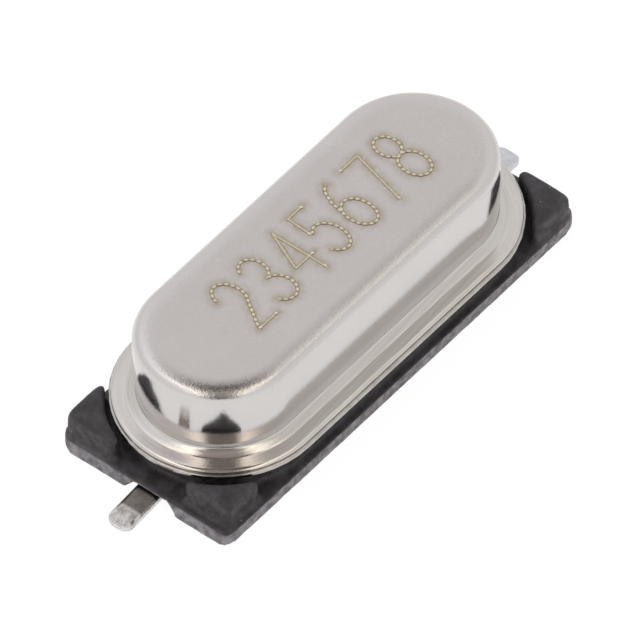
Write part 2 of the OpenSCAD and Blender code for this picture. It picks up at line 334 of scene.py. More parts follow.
def placeStrokes():
    laid = []
    for index, digit in enumerate(marks["text"]):
        left = marks["firstX"] + index * marks["pitch"]
        for curved, points in digitStrokes[digit]:
            placed = [(left + x * marks["width"], marks["baseY"] + y * marks["height"]) for x, y in points]
            laid.append((curved, placed))
    return laid


def walkStroke(points, step):
    # evenly spaced points along a stroke with the distance run so far, then the whole length
    walked = [(Vector(points[0]), 0.0)]
    run = 0.0
    for a, b in zip(points, points[1:]):
        a, b = Vector(a), Vector(b)
        length = (b - a).length
        pieces = max(1, int(math.ceil(length / step)))
        for k in range(1, pieces + 1):
            walked.append((a.lerp(b, k / pieces), run + length * k / pieces))
        run += length
    return walked, run


strokes = placeStrokes()
strokePoints = []
for curved, points in strokes:
    strokePoints += [point for point, run in walkStroke(points, marks["haloStep"])[0]]


def strokeDistance(x, y):
    return min(math.hypot(x - p.x, y - p.y) for p in strokePoints)


can = {
    "spine": 3.13,          # half length of the middle line
    "half": 1.81,
    "top": 2.79,
    "base": 0.87,
    "sheet": 0.2,
    "crownRadius": 1.4,
    "crownTurn": 12,
    "edgeRadius": 0.24,
    "bulgeTop": 1.5,        # lean of the slightly swollen wall at its two ends
    "bulgeFoot": 4.4,
    "filletRadius": 0.07,
    "bevelHeight": 0.228,
    "bevelWidth": 0.145,
    "bevelSlope": 30,
    "footRadius": 0.12,
    "flangeHalf": 2.28,
    "rimRadius": 0.052,
    "rimReach": 0.1,
    "innerRadius": 0.1,
    "innerDrop": 0.15,
    "steps": {"round": 72, "straight": 110, "flat": 32, "crown": 7, "edge": 18, "wall": 14, "fillet": 8,
              "bevel": 3, "foot": 6, "flange": 9, "rim": 8, "under": 6, "inner": 6},
    "topFacing": (0.972, 0.9985),
    "topHeights": (2.6, 2.75),
    "edgeFacing": (0.999, 0.97),
    "edgeHeights": (2.44, 2.56),
    "flangeHeights": (1.20, 1.12),
    "topTones": ((0.612, 0.583, 0.576), (0.682, 0.653, 0.655)),
    "wallTones": ((0.655, 0.63, 0.62), (0.70, 0.675, 0.67)),
    "flangeTones": ((0.565, 0.538, 0.508), (0.705, 0.682, 0.66)),
    "scorched": (0.40, 0.325, 0.215),
    "topRough": (0.27, 0.38),
    "wallRough": (0.09, 0.17),
    "edgeRough": (0.12, 0.28),
    "cloud": (0.9, 4, 0.6),
    "grain": (15, 3, 0.7),
    "fleck": (26, 2, 0.6),
    "patches": (7, 4, 0.65),
    "patchLevels": (0.25, 1.0),
    "patchPlaces": (0.36, 0.62),
    "drawLines": (9, 3, 0.6, (1, 1, 0.04)),
    "drawDepth": 0.22,
    "streaksPerMm": 16,     # fine lines round the flange
    "streakDrift": 1.1,
    "streakDetail": 3,
    "streakRough": 0.5,
    "streakPlaces": (0.3, 0.7),
    "streakShare": 0.6,
    "streakDepth": 0.9,
    "grainDepth": 0.2,      # away from the edge
    "bump": (0.5, 0.012),
}


def spineDistance(x, y):
    return math.hypot(max(0.0, abs(x) - can["spine"]), y)


def canProfile():
    c = can
    steps = c["steps"]
    half, top, base, rim = c["half"], c["top"], c["base"], c["rimRadius"]
    angles = ("crownTurn", "bulgeTop", "bulgeFoot", "bevelSlope")
    crown, lift, lean, slope = (math.radians(c[name]) for name in angles)

    # flat top, crown and rounded edge
    spread = c["crownRadius"] - c["edgeRadius"]
    flat = half - c["edgeRadius"] - spread * math.sin(crown)
    shoulder = top - c["crownRadius"] + spread * math.cos(crown)
    edgeStart = 90 - c["crownTurn"]
    profile = [(0, top)]
    profile += linePoints((0, top), (flat, top), steps["flat"])
    profile += arcPoints(flat, top - c["crownRadius"], c["crownRadius"], 90, edgeStart, steps["crown"])[:-1]
    profile += arcPoints(half - c["edgeRadius"], shoulder, c["edgeRadius"], edgeStart, c["bulgeTop"],
                         steps["edge"])

    # wall that swells a little between the shoulder and the foot
    wallX, wallZ = profile[-1]
    fillet = c["filletRadius"]
    wallFoot = base + c["bevelHeight"] + fillet * (1 - math.sin(slope)) / math.cos(slope)
    bulge = (wallZ - wallFoot) / (math.sin(lift) + math.sin(lean))
    centreX = wallX - bulge * math.cos(lift)
    centreZ = wallZ - bulge * math.sin(lift)
    profile += arcPoints(centreX, centreZ, bulge, c["bulgeTop"], -c["bulgeFoot"], steps["wall"])[1:]

    # fillet, bevel and the curve into the flange
    footX, footZ = profile[-1]
    centreX = footX + fillet * math.cos(lean)
    centreZ = footZ - fillet * math.sin(lean)
    profile += arcPoints(centreX, centreZ, fillet, 180 - c["bulgeFoot"], 270 - c["bevelSlope"],
                         steps["fillet"])[1:]
    rimX = c["flangeHalf"] - c["rimReach"]
    rimEdge = (rimX, base + 2 * rim)
    bevelX, bevelZ = profile[-1]
    bevelEnd = half + c["bevelWidth"]
    bevelFoot = (bevelEnd, bevelZ - (bevelEnd - bevelX) * math.tan(slope))
    flangeTurn = math.atan2(bevelFoot[1] - rimEdge[1], rimEdge[0] - bevelFoot[0])
    reach = c["footRadius"] * math.tan((slope - flangeTurn) / 2)
    curve = (bevelFoot[0] - reach * math.cos(slope), bevelFoot[1] + reach * math.sin(slope))
    centreX = curve[0] + c["footRadius"] * math.sin(slope)
    centreZ = curve[1] + c["footRadius"] * math.cos(slope)
    profile += linePoints(profile[-1], curve, steps["bevel"])
    profile += arcPoints(centreX, centreZ, c["footRadius"], 270 - c["bevelSlope"],
                         270 - math.degrees(flangeTurn), steps["foot"])

    # flange and its rim
    profile += linePoints(profile[-1], rimEdge, steps["flange"])
    for k in range(steps["rim"] + 1):
        turn = k * math.pi / (2 * steps["rim"])
        profile.append((rimX + c["rimReach"] * math.sin(turn), base + rim + rim * math.cos(turn)))
    profile += arcPoints(c["flangeHalf"] - rim, base + rim, rim, 0, -90, steps["rim"])[1:]

    # underside and inside
    inner = half - c["sheet"]
    ceiling = top - c["sheet"]
    corner = c["innerRadius"]
    profile += linePoints((c["flangeHalf"] - rim, base), (inner, base), steps["under"])
    profile += [(inner, base), (inner, ceiling - c["innerDrop"])]
    profile += arcPoints(inner - corner, ceiling - corner, corner, 0, 90, steps["inner"])
    profile.append((0, ceiling))
    return profile


def edgeStreaks(tree):
    # fine lines that run round the piece beside its edge
    lines = addNode(tree, "ShaderNodeCombineXYZ")
    tree.links.new(product(tree, attribute(tree, "reach"), can["streaksPerMm"]), lines.inputs["X"])
    place = addNode(tree, "ShaderNodeVectorMath", operation="ADD")
    tree.links.new(objectPlace(tree, (can["streakDrift"],) * 3), place.inputs[0])
    tree.links.new(lines.outputs["Vector"], place.inputs[1])
    return noiseAt(tree, place.outputs["Vector"], 1, can["streakDetail"], can["streakRough"])


def canMaterial():
    material, tree, shader = newMaterial("nickelCan")
    upward = normalPart(tree, "Z")
    height = placePart(tree, "Z")
    onTop = product(tree, smoothRange(tree, upward, can["topFacing"]),
                    smoothRange(tree, height, can["topHeights"], mm))
    onEdge = product(tree, smoothRange(tree, height, can["edgeHeights"], mm),
                     smoothRange(tree, upward, can["edgeFacing"]))
    onFlange = smoothRange(tree, height, can["flangeHeights"], mm)
    cloud = objectNoise(tree, *can["cloud"])
    grain = objectNoise(tree, *can["grain"])
    fleck = objectNoise(tree, *can["fleck"])
    streaks = edgeStreaks(tree)

    streakTone = greyRamp(tree, streaks, (0, 1), can["streakPlaces"])
    flangeTone = mathNode(tree, "MULTIPLY_ADD", cloud, 1 - can["streakShare"],
                          product(tree, streakTone, can["streakShare"]))
    wallColour = mixColours(tree, onFlange, mixColours(tree, cloud, *can["wallTones"]),
                            mixColours(tree, flangeTone, *can["flangeTones"]))
    colour = mixColours(tree, onTop, wallColour, mixColours(tree, cloud, *can["topTones"]))
    patchy = greyRamp(tree, objectNoise(tree, *can["patches"]), can["patchLevels"], can["patchPlaces"])
    halo = product(tree, attribute(tree, "scorch"), patchy)
    colour = mixColours(tree, halo, colour, can["scorched"])
    tree.links.new(colour, shader.inputs["Base Color"])
    shader.inputs["Metallic"].default_value = 1.0

    wallRough = greyRamp(tree, fleck, can["wallRough"])
    topRough = greyRamp(tree, grain, can["topRough"])
    edgeRough = greyRamp(tree, fleck, can["edgeRough"])
    rough = mixColours(tree, onEdge, mixColours(tree, onTop, wallRough, topRough), edgeRough)
    tree.links.new(rough, shader.inputs["Roughness"])

    depth = mathNode(tree, "MULTIPLY_ADD", onEdge, 1 - can["grainDepth"], can["grainDepth"])
    relief = mathNode(tree, "MULTIPLY_ADD", mathNode(tree, "SUBTRACT", grain, 0.5), depth, 0.5)
    drawn = objectNoise(tree, *can["drawLines"])
    lines = mixColours(tree, onFlange, product(tree, drawn, can["drawDepth"]),
                       product(tree, streaks, can["streakDepth"]))
    offTop = mathNode(tree, "SUBTRACT", 1.0, onTop)
    relief = mathNode(tree, "ADD", relief, product(tree, lines, offTop))
    addBump(tree, shader, relief, *can["bump"])
    return material


def buildCan():
    steps = can["steps"]
    stations = spineStations(can["spine"], steps["round"], steps["straight"])
    piece = sweepRound("canShell", canProfile(), stations)
    scorch = piece.data.attributes.new("scorch", "FLOAT", "POINT")
    reach = piece.data.attributes.new("reach", "FLOAT", "POINT")
    for vertex in piece.data.vertices:
        x, y, z = (value / mm for value in vertex.co)
        near = 1.0
        if z > can["top"] - marks["haloDepth"] and abs(y) < marks["haloHalf"]:
            near = min(1.0, strokeDistance(x, y) / marks["haloReach"])
        scorch.data[vertex.index].value = (1 - near) ** marks["haloFade"]
        reach.data[vertex.index].value = spineDistance(x, y)
    finishPiece(piece, canMaterial(), "can", "can")


buildCan()
print("can built")


def markMaterial():
    material, tree, shader = newMaterial("laserMark")
    # tones run from scorched brown on the flanks to a painted white highlight on the crest
    tone = ramp(tree, attribute(tree, "glow"), marks["tones"])
    grainy = greyRamp(tree, objectNoise(tree, *marks["grain"]), marks["grainLevels"])
    tree.links.new(mixColours(tree, 1.0, tone, grainy, "MULTIPLY"), shader.inputs["Base Color"])
    shader.inputs["Metallic"].default_value = 1.0
    shader.inputs["Roughness"].default_value = marks["roughness"]
    return material


def strokeWidth(curved, run, total):
    # half width of a stroke at a distance along it, and its shine, the painted highlight on its crest
    fromEnd = min(run, total - run)
    if curved:
        beat = math.sin(math.pi * ((run / marks["beadPitch"]) % 1.0)) ** marks["beadRound"]
        half = blend(marks["beadWaist"], 1, beat)
        shine = blend(*marks["beadShine"], beat)
    elif fromEnd < marks["spotReach"]:
        half = marks["spotHalf"]
        shine = marks["spotShine"]
    else:
        half = marks["straightHalf"]
        shine = marks["straightShine"]
    taper = blend(marks["taperHalf"], 1, min(1.0, fromEnd / marks["taperReach"]))
    return marks["strokeHalf"] * half * taper, shine


def strokeRing(bm, glow, point, across, half, shine):
    ring = []
    for side in range(marks["strokeSides"] + 1):
        turn = math.pi * side / marks["strokeSides"]
        place = point + across * (half * math.cos(turn))
        lift = marks["strokeRise"] * math.sin(turn) * (half / marks["strokeHalf"])
        vertex = bm.verts.new(Vector((place.x, place.y, can["top"] + lift - marks["strokeSink"])) * mm)
        # glow is painted light: bright as a highlight along the crest, dark on the flanks as scorch and
        # painted shade
        vertex[glow] = shine * max(0.0, blend(1, math.sin(turn), marks["ridge"]))
        ring.append(vertex)
    return ring


def buildMarks():
    bm = bmesh.new()
    glow = bm.verts.layers.float.new("glow")
    for curved, points in strokes:
        walked, total = walkStroke(points, marks["strokeStep"])
        rings = []
        for index, (point, run) in enumerate(walked):
            before = walked[max(0, index - 1)][0]
            after = walked[min(len(walked) - 1, index + 1)][0]
            along = (after - before).normalized()
            across = Vector((-along.y, along.x))
            rings.append(strokeRing(bm, glow, point, across, *strokeWidth(curved, run, total)))
        skinRings(bm, rings)
    bmesh.ops.recalc_face_normals(bm, faces=bm.faces)
    piece = addMesh("laserMarks", bm, marks["smoothAngle"])
    finishPiece(piece, markMaterial(), "can")


buildMarks()
print("marks laid:", len(strokes), "strokes")


header = {
    "flatAngle": 0.5,       # faces that turn less than this become one
    "smoothAngle": 28,
    "bevelAngle": 28,
    "bevelWidth": 0.012,
    "bevelSegments": 3,
    "tones": ((0.42, 0.395, 0.37), (0.56, 0.535, 0.51)),
    "roughness": 0.18,
    "scale": 5,
}


def buildHeader():
    # the CAD piece with merged flats and softened edges
    bm = bmesh.new()
    bm.from_mesh(frame["nodes"]["header"].data)
    bmesh.ops.remove_doubles(bm, verts=bm.verts, dist=mergeDistance)
    flatAngle = math.radians(header["flatAngle"])
    bmesh.ops.dissolve_limit(bm, angle_limit=flatAngle, verts=bm.verts, edges=bm.edges)
    piece = addMesh("headerCup", bm, header["smoothAngle"])
    bevel = piece.modifiers.new("softEdges", "BEVEL")
    bevel.width = header["bevelWidth"] * mm
    bevel.segments = header["bevelSegments"]
    bevel.limit_method = "ANGLE"
    bevel.angle_limit = math.radians(header["bevelAngle"])
    bevel.harden_normals = True
    skin = plainMaterial("nickelHeader", header["tones"], 1, header["roughness"], header["scale"])
    finishPiece(piece, skin, "header", "header")


buildHeader()
print("header dressed")


insulator = {
    "cell": 0.045,          # grid of the fine remesh
    "softenRounds": 6,
    "softenFactor": 0.5,
    "lugFoot": 0.335,       # the lugs above this height are worn further
    "lugWear": 18,
    "lugFactor": 0.5,
    "seatReach": 2.36,      # distance from the middle line within which the seat stays flat
    "seatFoot": 0.5,
    "seatFade": 0.1,
    "wave": 0.007,
    "waveSize": 0.45,
    "ripple": 0.005,
    "rippleSize": 0.13,
    "rippleShift": (7, 3, 5),
    "sideFacing": (0.8, 0.3),
    "plateHeights": (0.38, 0.28),
    "darkTop": (0.028, 0.024, 0.0275),
    "paleTop": (0.076, 0.072, 0.086),
    # the plate's upright sides are painted lighter, as the light and floor reflection they catch; the
    # blotches in it are random tone
    "litSideDark": (0.115, 0.105, 0.12),
    "litSidePale": (0.38, 0.365, 0.40),
    "dust": (0.52, 0.50, 0.48),
    "topPlaces": (0.42, 0.72),
    "sidePlaces": (0.34, 0.68),
    "lugSidePlaces": (0.4, 0.7),
    "lugLitShare": 0.18,   # how much of the painted-light side tone the lugs show at most
    "dustPlaces": (0.80, 0.82),
    "mottle": (2.6, 7, 0.68),
    "blotch": (5.5, 5, 0.62),
    "speckle": (17, 1, 0.4),
    "pitting": (10, 5, 0.65),
    "pittingShare": 0.4,
    "rough": (0.5, 0.68),
    "ior": 1.5,
    "bump": (0.55, 0.03),
}


def insulatorMaterial():
    p = insulator
    material, tree, shader = newMaterial("mouldedBlack")
    mottle = objectNoise(tree, *p["mottle"])
    blotch = objectNoise(tree, *p["blotch"])
    speckle = objectNoise(tree, *p["speckle"])
    upright = smoothRange(tree, mathNode(tree, "ABSOLUTE", normalPart(tree, "Z")), p["sideFacing"])
    onPlate = smoothRange(tree, placePart(tree, "Z"), p["plateHeights"], mm)
    topTone = greyRamp(tree, mottle, (0, 1), p["topPlaces"])
    litSideTone = greyRamp(tree, blotch, (0, 1), p["sidePlaces"])
    lugLitTone = greyRamp(tree, blotch, (0, p["lugLitShare"]), p["lugSidePlaces"])
    dustTone = greyRamp(tree, speckle, (0, 1), p["dustPlaces"])
    top = mixColours(tree, topTone, p["darkTop"], p["paleTop"])
    side = mixColours(tree, litSideTone, p["litSideDark"], p["litSidePale"])
    lugLitSide = mixColours(tree, lugLitTone, p["darkTop"], p["litSidePale"])
    # upright faces of the plate take the painted-light side tone, the lugs' upright faces a little of it
    colour = mixColours(tree, product(tree, upright, onPlate), mixColours(tree, upright, top, lugLitSide), side)
    colour = mixColours(tree, dustTone, colour, p["dust"])
    tree.links.new(colour, shader.inputs["Base Color"])
    tree.links.new(greyRamp(tree, mottle, p["rough"]), shader.inputs["Roughness"])
    shader.inputs["IOR"].default_value = p["ior"]
    relief = mixColours(tree, p["pittingShare"], mottle, objectNoise(tree, *p["pitting"]))
    addBump(tree, shader, relief, *p["bump"])
    return material


def remeshFinely(source, name):
    blank = bpy.data.objects.new("roughBlank", source.data.copy())
    scene.collection.objects.link(blank)
    cells = blank.modifiers.new("cells", "REMESH")
    cells.mode = "VOXEL"
    cells.voxel_size = insulator["cell"] * mm
    soften = blank.modifiers.new("soften", "SMOOTH")
    soften.factor = insulator["softenFactor"]
    soften.iterations = insulator["softenRounds"]
    mesh = bpy.data.meshes.new_from_object(blank.evaluated_get(bpy.context.evaluated_depsgraph_get()))
    bpy.data.objects.remove(blank)
    mesh.name = name
    return mesh


def wearLugs(mesh):
    bm = bmesh.new()
    bm.from_mesh(mesh)
    lugs = [v for v in bm.verts if v.co.z > insulator["lugFoot"] * mm
            and spineDistance(v.co.x / mm, v.co.y / mm) > insulator["seatReach"]]
    for _ in range(insulator["lugWear"]):
        bmesh.ops.smooth_vert(bm, verts=lugs, factor=insulator["lugFactor"],
                              use_axis_x=True, use_axis_y=True, use_axis_z=True)
    bm.to_mesh(mesh)
    bm.free()


def roughenFaces(mesh):
    # a little unevenness; the seat stays flat and nothing sinks below the board plane
    moves = []
    for vertex in mesh.vertices:
        place = vertex.co / mm
        fade = 1.0
        if place.z > insulator["seatFoot"]:
            past = spineDistance(place.x, place.y) - insulator["seatReach"]
            fade = min(1.0, max(0.0, past / insulator["seatFade"]))
        ripplePlace = place / insulator["rippleSize"] + Vector(insulator["rippleShift"])
        move = insulator["wave"] * noise.noise(place / insulator["waveSize"])
        move += insulator["ripple"] * noise.noise(ripplePlace)
        moves.append(vertex.normal * (move * fade * mm))
    for vertex, move in zip(mesh.vertices, moves):
        vertex.co += move
        vertex.co.z = max(vertex.co.z, 0.0)


def buildInsulator():
    mesh = remeshFinely(frame["nodes"]["insulator_base"], "insulatorBody")
    wearLugs(mesh)
    roughenFaces(mesh)
    piece = bpy.data.objects.new("insulatorBody", mesh)
    scene.collection.objects.link(piece)
    mesh.shade_smooth()
    finishPiece(piece, insulatorMaterial(), "insulator", "insulator_base")
    print("insulator dressed:", len(mesh.polygons), "faces")


buildInsulator()


lead = {
    "pinX": 2.44,
    "sides": 48,
    "wireRadius": 0.215,
    "bendRadius": 0.36,
    "headBase": 1.55,
    "headRadius": 0.43,
    "headThick": 0.12,
    "headEdge": 0.03,
    "headUnder": 0.02,
    "collar": 0.03,
    "neck": 0.04,
    "flatHalf": 0.3,
    "flatThick": 0.2,
    "flatten": 0.5,         # run of the change from round to flat
    "flatSpread": 1.9,
    "sideRound": 3,
    "faceRound": 0.35,
    "tipCorner": 0.17,
    "slopeLength": 0.34,
    "slopeDepth": 0.07,
    "steps": {"wire": 6, "bend": 14, "flatten": 12, "flat": 24, "corner": 10},
    "smoothAngle": 40,
    "topFacing": (0.75, 0.95),
    "tipBlend": (-0.06, 0.03),
    "barePlaces": (0.34, 0.62),
    "tone": (6, 4, 0.6),
    "rough": (0.22, 0.36),
    "grain": (12, 4, 0.6),
    "bump": (0.4, 0.012),
    "right": {
        "sign": 1,
        "reach": 6.25,
        "swing": 1,
        "brightTip": 0.34,
        # the top away from the tip is painted a little darker and bluer than the tip, as shade
        "shadedTop": ((0.55, 0.575, 0.63), (0.66, 0.69, 0.745)),
        "bright": ((0.58, 0.59, 0.62), (0.72, 0.74, 0.78)),
    },
    "left": {
        "sign": -1,
        "reach": 6.78,
        "swing": 3,
        "brightTip": 0.46,
        # the top away from the tip is painted dark, as the shade and dark reflection near the plate
        "shadedTop": ((0.16, 0.145, 0.136), (0.30, 0.278, 0.262)),
        "bright": ((0.46, 0.425, 0.39), (0.78, 0.775, 0.78)),
    },
}


def flatSection(angle, squash, lower):
    # a point of the lead's section; squash 0 is the round wire, 1 the flat foot with round edges
    p = lead
    r = p["wireRadius"]
    c, s = math.cos(angle), math.sin(angle)
    halfThick = p["flatThick"] / 2
    flatY = (p["flatHalf"] - halfThick) * max(-1, min(1, c * p["flatSpread"]))
    flatY += math.copysign(halfThick * abs(c) ** p["sideRound"], c)
    flatZ = halfThick + math.copysign(halfThick * abs(s) ** p["faceRound"], s)
    if s > 0:
        flatZ = min(flatZ, p["flatThick"] - lower)
    return blend(r * c, flatY, squash), blend(r + r * s, flatZ, squash)


def leadRings(reach, swing):
    # from the nail head down the wire, round the bend and out along the flat foot
    p = lead
    steps = p["steps"]
    angles = [2 * math.pi * k / p["sides"] for k in range(p["sides"])]
    turn = math.radians(-swing)
    along = Vector((math.cos(turn), math.sin(turn), 0))
    side = Vector((-along.y, along.x, 0))
    upward = Vector((0, 0, 1))
    rings = []

    def addCircle(centre, up, radius):
        rings.append([centre + side * (radius * math.cos(t)) + up * (radius * math.sin(t)) for t in angles])

    def addFlat(distance, squash, trim, lower):
        sections = [flatSection(t, squash, lower) for t in angles]
        rings.append([along * distance + side * (y * trim) + upward * z for y, z in sections])

    # nail head and neck
    r, bend = p["wireRadius"], p["bendRadius"]
    head, headBase = p["headRadius"], p["headBase"]
    headTop = headBase + p["headThick"]
    neckFoot = headBase - p["neck"]
    outline = ((head - p["headEdge"], headTop), (head, headTop - p["headEdge"]),
               (head, headBase + p["headUnder"]), (head - p["headUnder"], headBase),
               (r + p["collar"], headBase), (r, neckFoot))
    for radius, z in outline:
        addCircle(upward * z, along, radius)

    # wire and bend
    bendTop = r + bend
    for step in range(1, steps["wire"] + 1):
        addCircle(upward * (neckFoot + (bendTop - neckFoot) * step / steps["wire"]), along, r)
    middle = along * bend + upward * bendTop
    for step in range(1, steps["bend"] + 1):
        angle = math.radians(90 * step / steps["bend"])
        centre = middle - along * (bend * math.cos(angle)) - upward * (bend * math.sin(angle))
        addCircle(centre, along * math.cos(angle) + upward * math.sin(angle), r)

    # flattened run, flat foot and its sloping tip
    for step in range(1, steps["flatten"] + 1):
        share = step / steps["flatten"]
        addFlat(bend + p["flatten"] * share, share * share * (3 - 2 * share), 1, 0)
    flatStart = bend + p["flatten"]
    tip = (reach - p["pinX"]) / math.cos(turn)
    corner = p["tipCorner"]
    cornerStart = tip - corner
    runs = [flatStart + (cornerStart - flatStart) * k / steps["flat"] for k in range(1, steps["flat"] + 1)]
    for k in range(1, steps["corner"] + 1):
        runs.append(cornerStart + corner * math.sin(math.radians(90 * k / steps["corner"])))
    for run in runs:
        into = max(0.0, (run - cornerStart) / corner)
        trim = 1 - (corner / p["flatHalf"]) * (1 - math.sqrt(max(0.0, 1 - into * into)))
        lower = p["slopeDepth"] * max(0.0, (run - (tip - p["slopeLength"])) / p["slopeLength"])
        addFlat(run, 1, trim, lower)
    return rings


def leadMaterial(name, look):
    material, tree, shader = newMaterial(name)
    tipStart = look["reach"] - look["brightTip"]
    distance = product(tree, placePart(tree, "X"), look["sign"])
    onTip = smoothRange(tree, distance, [tipStart + edge for edge in lead["tipBlend"]], mm)
    facing = smoothRange(tree, normalPart(tree, "Z"), lead["topFacing"])
    tone = objectNoise(tree, *lead["tone"])
    shadedTop = toneRamp(tree, tone, look["shadedTop"])
    bare = toneRamp(tree, tone, look["bright"], lead["barePlaces"])
    # the top of the lead away from its tip takes the painted-shade tone; the tip and the sides keep the bare
    # tone
    onTop = product(tree, facing, mathNode(tree, "SUBTRACT", 1.0, onTip))
    tree.links.new(mixColours(tree, onTop, bare, shadedTop), shader.inputs["Base Color"])
    shader.inputs["Metallic"].default_value = 1.0
    tree.links.new(greyRamp(tree, tone, lead["rough"]), shader.inputs["Roughness"])
    addBump(tree, shader, objectNoise(tree, *lead["grain"]), *lead["bump"])
    return material


def buildLead(side):
    look = lead[side]
    bm = bmesh.new()
    rings = []
    for ring in leadRings(look["reach"], look["swing"]):
        places = [(look["sign"] * (point.x + lead["pinX"]), point.y, point.z) for point in ring]
        rings.append([bm.verts.new(Vector(place) * mm) for place in places])
    skinRings(bm, rings)
    bmesh.ops.recalc_face_normals(bm, faces=bm.faces)
    piece = addMesh("leadWire_" + side, bm, lead["smoothAngle"])
    finishPiece(piece, leadMaterial("tinnedWire_" + side, look), "lead", "lead_" + side)


for side in ("right", "left"):
    buildLead(side)
print("leads dressed")


# the sealed inner pieces keep their CAD shapes; one look for each kind of material
innerLooks = {
    "seal_glass": {"name": "sealGlass", "metallic": 0, "roughness": 0.12,
                   "tones": ((0.03, 0.05, 0.035), (0.06, 0.085, 0.06))},
    "clip": {"name": "clipNickel", "metallic": 1, "roughness": 0.25,
             "tones": ((0.55, 0.54, 0.52), (0.68, 0.66, 0.63))},
    "quartz": {"name": "clearQuartz", "metallic": 0, "roughness": 0.18, "clearness": 0.8,
               "tones": ((0.85, 0.88, 0.9), (0.92, 0.94, 0.95))},
    "electrode": {"name": "silverFilm", "metallic": 1, "roughness": 0.2,
                  "tones": ((0.8, 0.79, 0.76), (0.9, 0.89, 0.86))},
    "cement": {"name": "silverCement", "metallic": 0.2, "roughness": 0.6,
               "tones": ((0.3, 0.3, 0.28), (0.45, 0.45, 0.43))},
}
innerMaterials = {kind: plainMaterial(**look) for kind, look in innerLooks.items()}
for subpart in frame["record"]["subparts"]:
    material = innerMaterials.get(subpart["material_slot"])
    if material:
        inner = frame["nodes"][subpart["node"]]
        inner.data.materials.clear()
        inner.data.materials.append(material)
print("inner pieces finished")


studio = {
    "cameraAzimuth": -49.81,
    "cameraElevation": 48.54,
    "cameraRoll": -1.08,
    "cameraDistance": 439.2,
    "aimHeight": 2.0,
    "aimRight": 0.058,
    "aimUp": -1.116,
    "lens": 1200,
    "sensorWidth": 36,
    "clipStart": 0.01,      # metres
    "clipEnd": 2,
    "floorHalf": 120,
    "floorDrop": 0.01,      # keeps the floor just clear of the base
    "floorTones": ((0.86, 0.86, 0.86), (0.9, 0.9, 0.9)),
    "floorTone": (0.4, 3),
    "floorRough": 0.9,
    "floorLight": 1.05,
    "floorGlow": 0.9,
    "floorGlowMirrored": 0.75,
    "softboxes": (
        {"name": "softboxRear", "place": (10, 60, 148), "size": 60, "power": 0.05},
        {"name": "softboxFront", "place": (-60, -80, 120), "size": 90, "power": 0.017},
    ),
}


def cameraAxes():
    a, e = math.radians(studio["cameraAzimuth"]), math.radians(studio["cameraElevation"])
    back = Vector((math.sin(a) * math.cos(e), -math.cos(a) * math.cos(e), math.sin(e)))
    right = Vector((math.cos(a), math.sin(a), 0))
    up = back.cross(right)
    roll = math.radians(studio["cameraRoll"])
    return right * math.cos(roll) + up * math.sin(roll), up * math.cos(roll) - right * math.sin(roll), back


def buildCamera():
    right, up, back = cameraAxes()
    aim = Vector((0, 0, studio["aimHeight"])) + right * studio["aimRight"] + up * studio["aimUp"]
    place = (aim + back * studio["cameraDistance"]) * mm
    data = bpy.data.cameras.new("studioCamera")
    data.lens = studio["lens"]
    data.sensor_width = studio["sensorWidth"]
    data.clip_start = studio["clipStart"]
    data.clip_end = studio["clipEnd"]
    camera = bpy.data.objects.new("studioCamera", data)
    scene.collection.objects.link(camera)
    turn = Matrix((right, up, back)).transposed().to_4x4()
    camera.matrix_world = Matrix.Translation(place) @ turn
    scene.camera = camera


def mixShaders(tree, share, first, second):
    node = addNode(tree, "ShaderNodeMixShader")
    tree.links.new(share, node.inputs["Fac"])
    tree.links.new(first, node.inputs[1])
    tree.links.new(second, node.inputs[2])
    return node.outputs["Shader"]


def floorMaterial():
    material, tree, shader = newMaterial("paleFloor")
    tone = objectNoise(tree, *studio["floorTone"])
    tree.links.new(toneRamp(tree, tone, studio["floorTones"]), shader.inputs["Base Color"])
    shader.inputs["Roughness"].default_value = studio["floorRough"]
    glow = addNode(tree, "ShaderNodeEmission")
    glow.inputs["Color"].default_value = (1, 1, 1, 1)
    glow.inputs["Strength"].default_value = studio["floorLight"]
    rays = addNode(tree, "ShaderNodeLightPath").outputs
    seen = mathNode(tree, "MAXIMUM", rays["Is Camera Ray"], rays["Is Transmission Ray"])
    share = mathNode(tree, "MAXIMUM", product(tree, seen, studio["floorGlow"]),
                     product(tree, rays["Is Glossy Ray"], studio["floorGlowMirrored"]))
    lit = mixShaders(tree, share, shader.outputs["BSDF"], glow.outputs["Emission"])
    # one-sided, so that the base can be looked at from below
    fromBelow = addNode(tree, "ShaderNodeNewGeometry").outputs["Backfacing"]
    nothing = addNode(tree, "ShaderNodeBsdfTransparent").outputs["BSDF"]
    surface = mixShaders(tree, fromBelow, lit, nothing)
    tree.links.new(surface, tree.nodes["Material Output"].inputs["Surface"])
    return material


def buildFloor():
    bm = bmesh.new()
    half, drop = studio["floorHalf"] * mm, studio["floorDrop"] * mm
    corners = ((-1, -1), (1, -1), (1, 1), (-1, 1))
    bm.faces.new([bm.verts.new((x * half, y * half, -drop)) for x, y in corners])
    floor = addMesh("studioFloor", bm)
    floor.data.materials.append(floorMaterial())


def addSoftbox(name, place, size, power):
    data = bpy.data.lights.new(name, "AREA")
    data.shape = "SQUARE"
    data.size = size * mm
    data.energy = power
    lamp = bpy.data.objects.new(name, data)
    scene.collection.objects.link(lamp)
    spot = Vector(place) * mm
    lamp.matrix_world = Matrix.Translation(spot) @ spot.to_track_quat("Z", "Y").to_matrix().to_4x4()
    lamp.visible_glossy = False


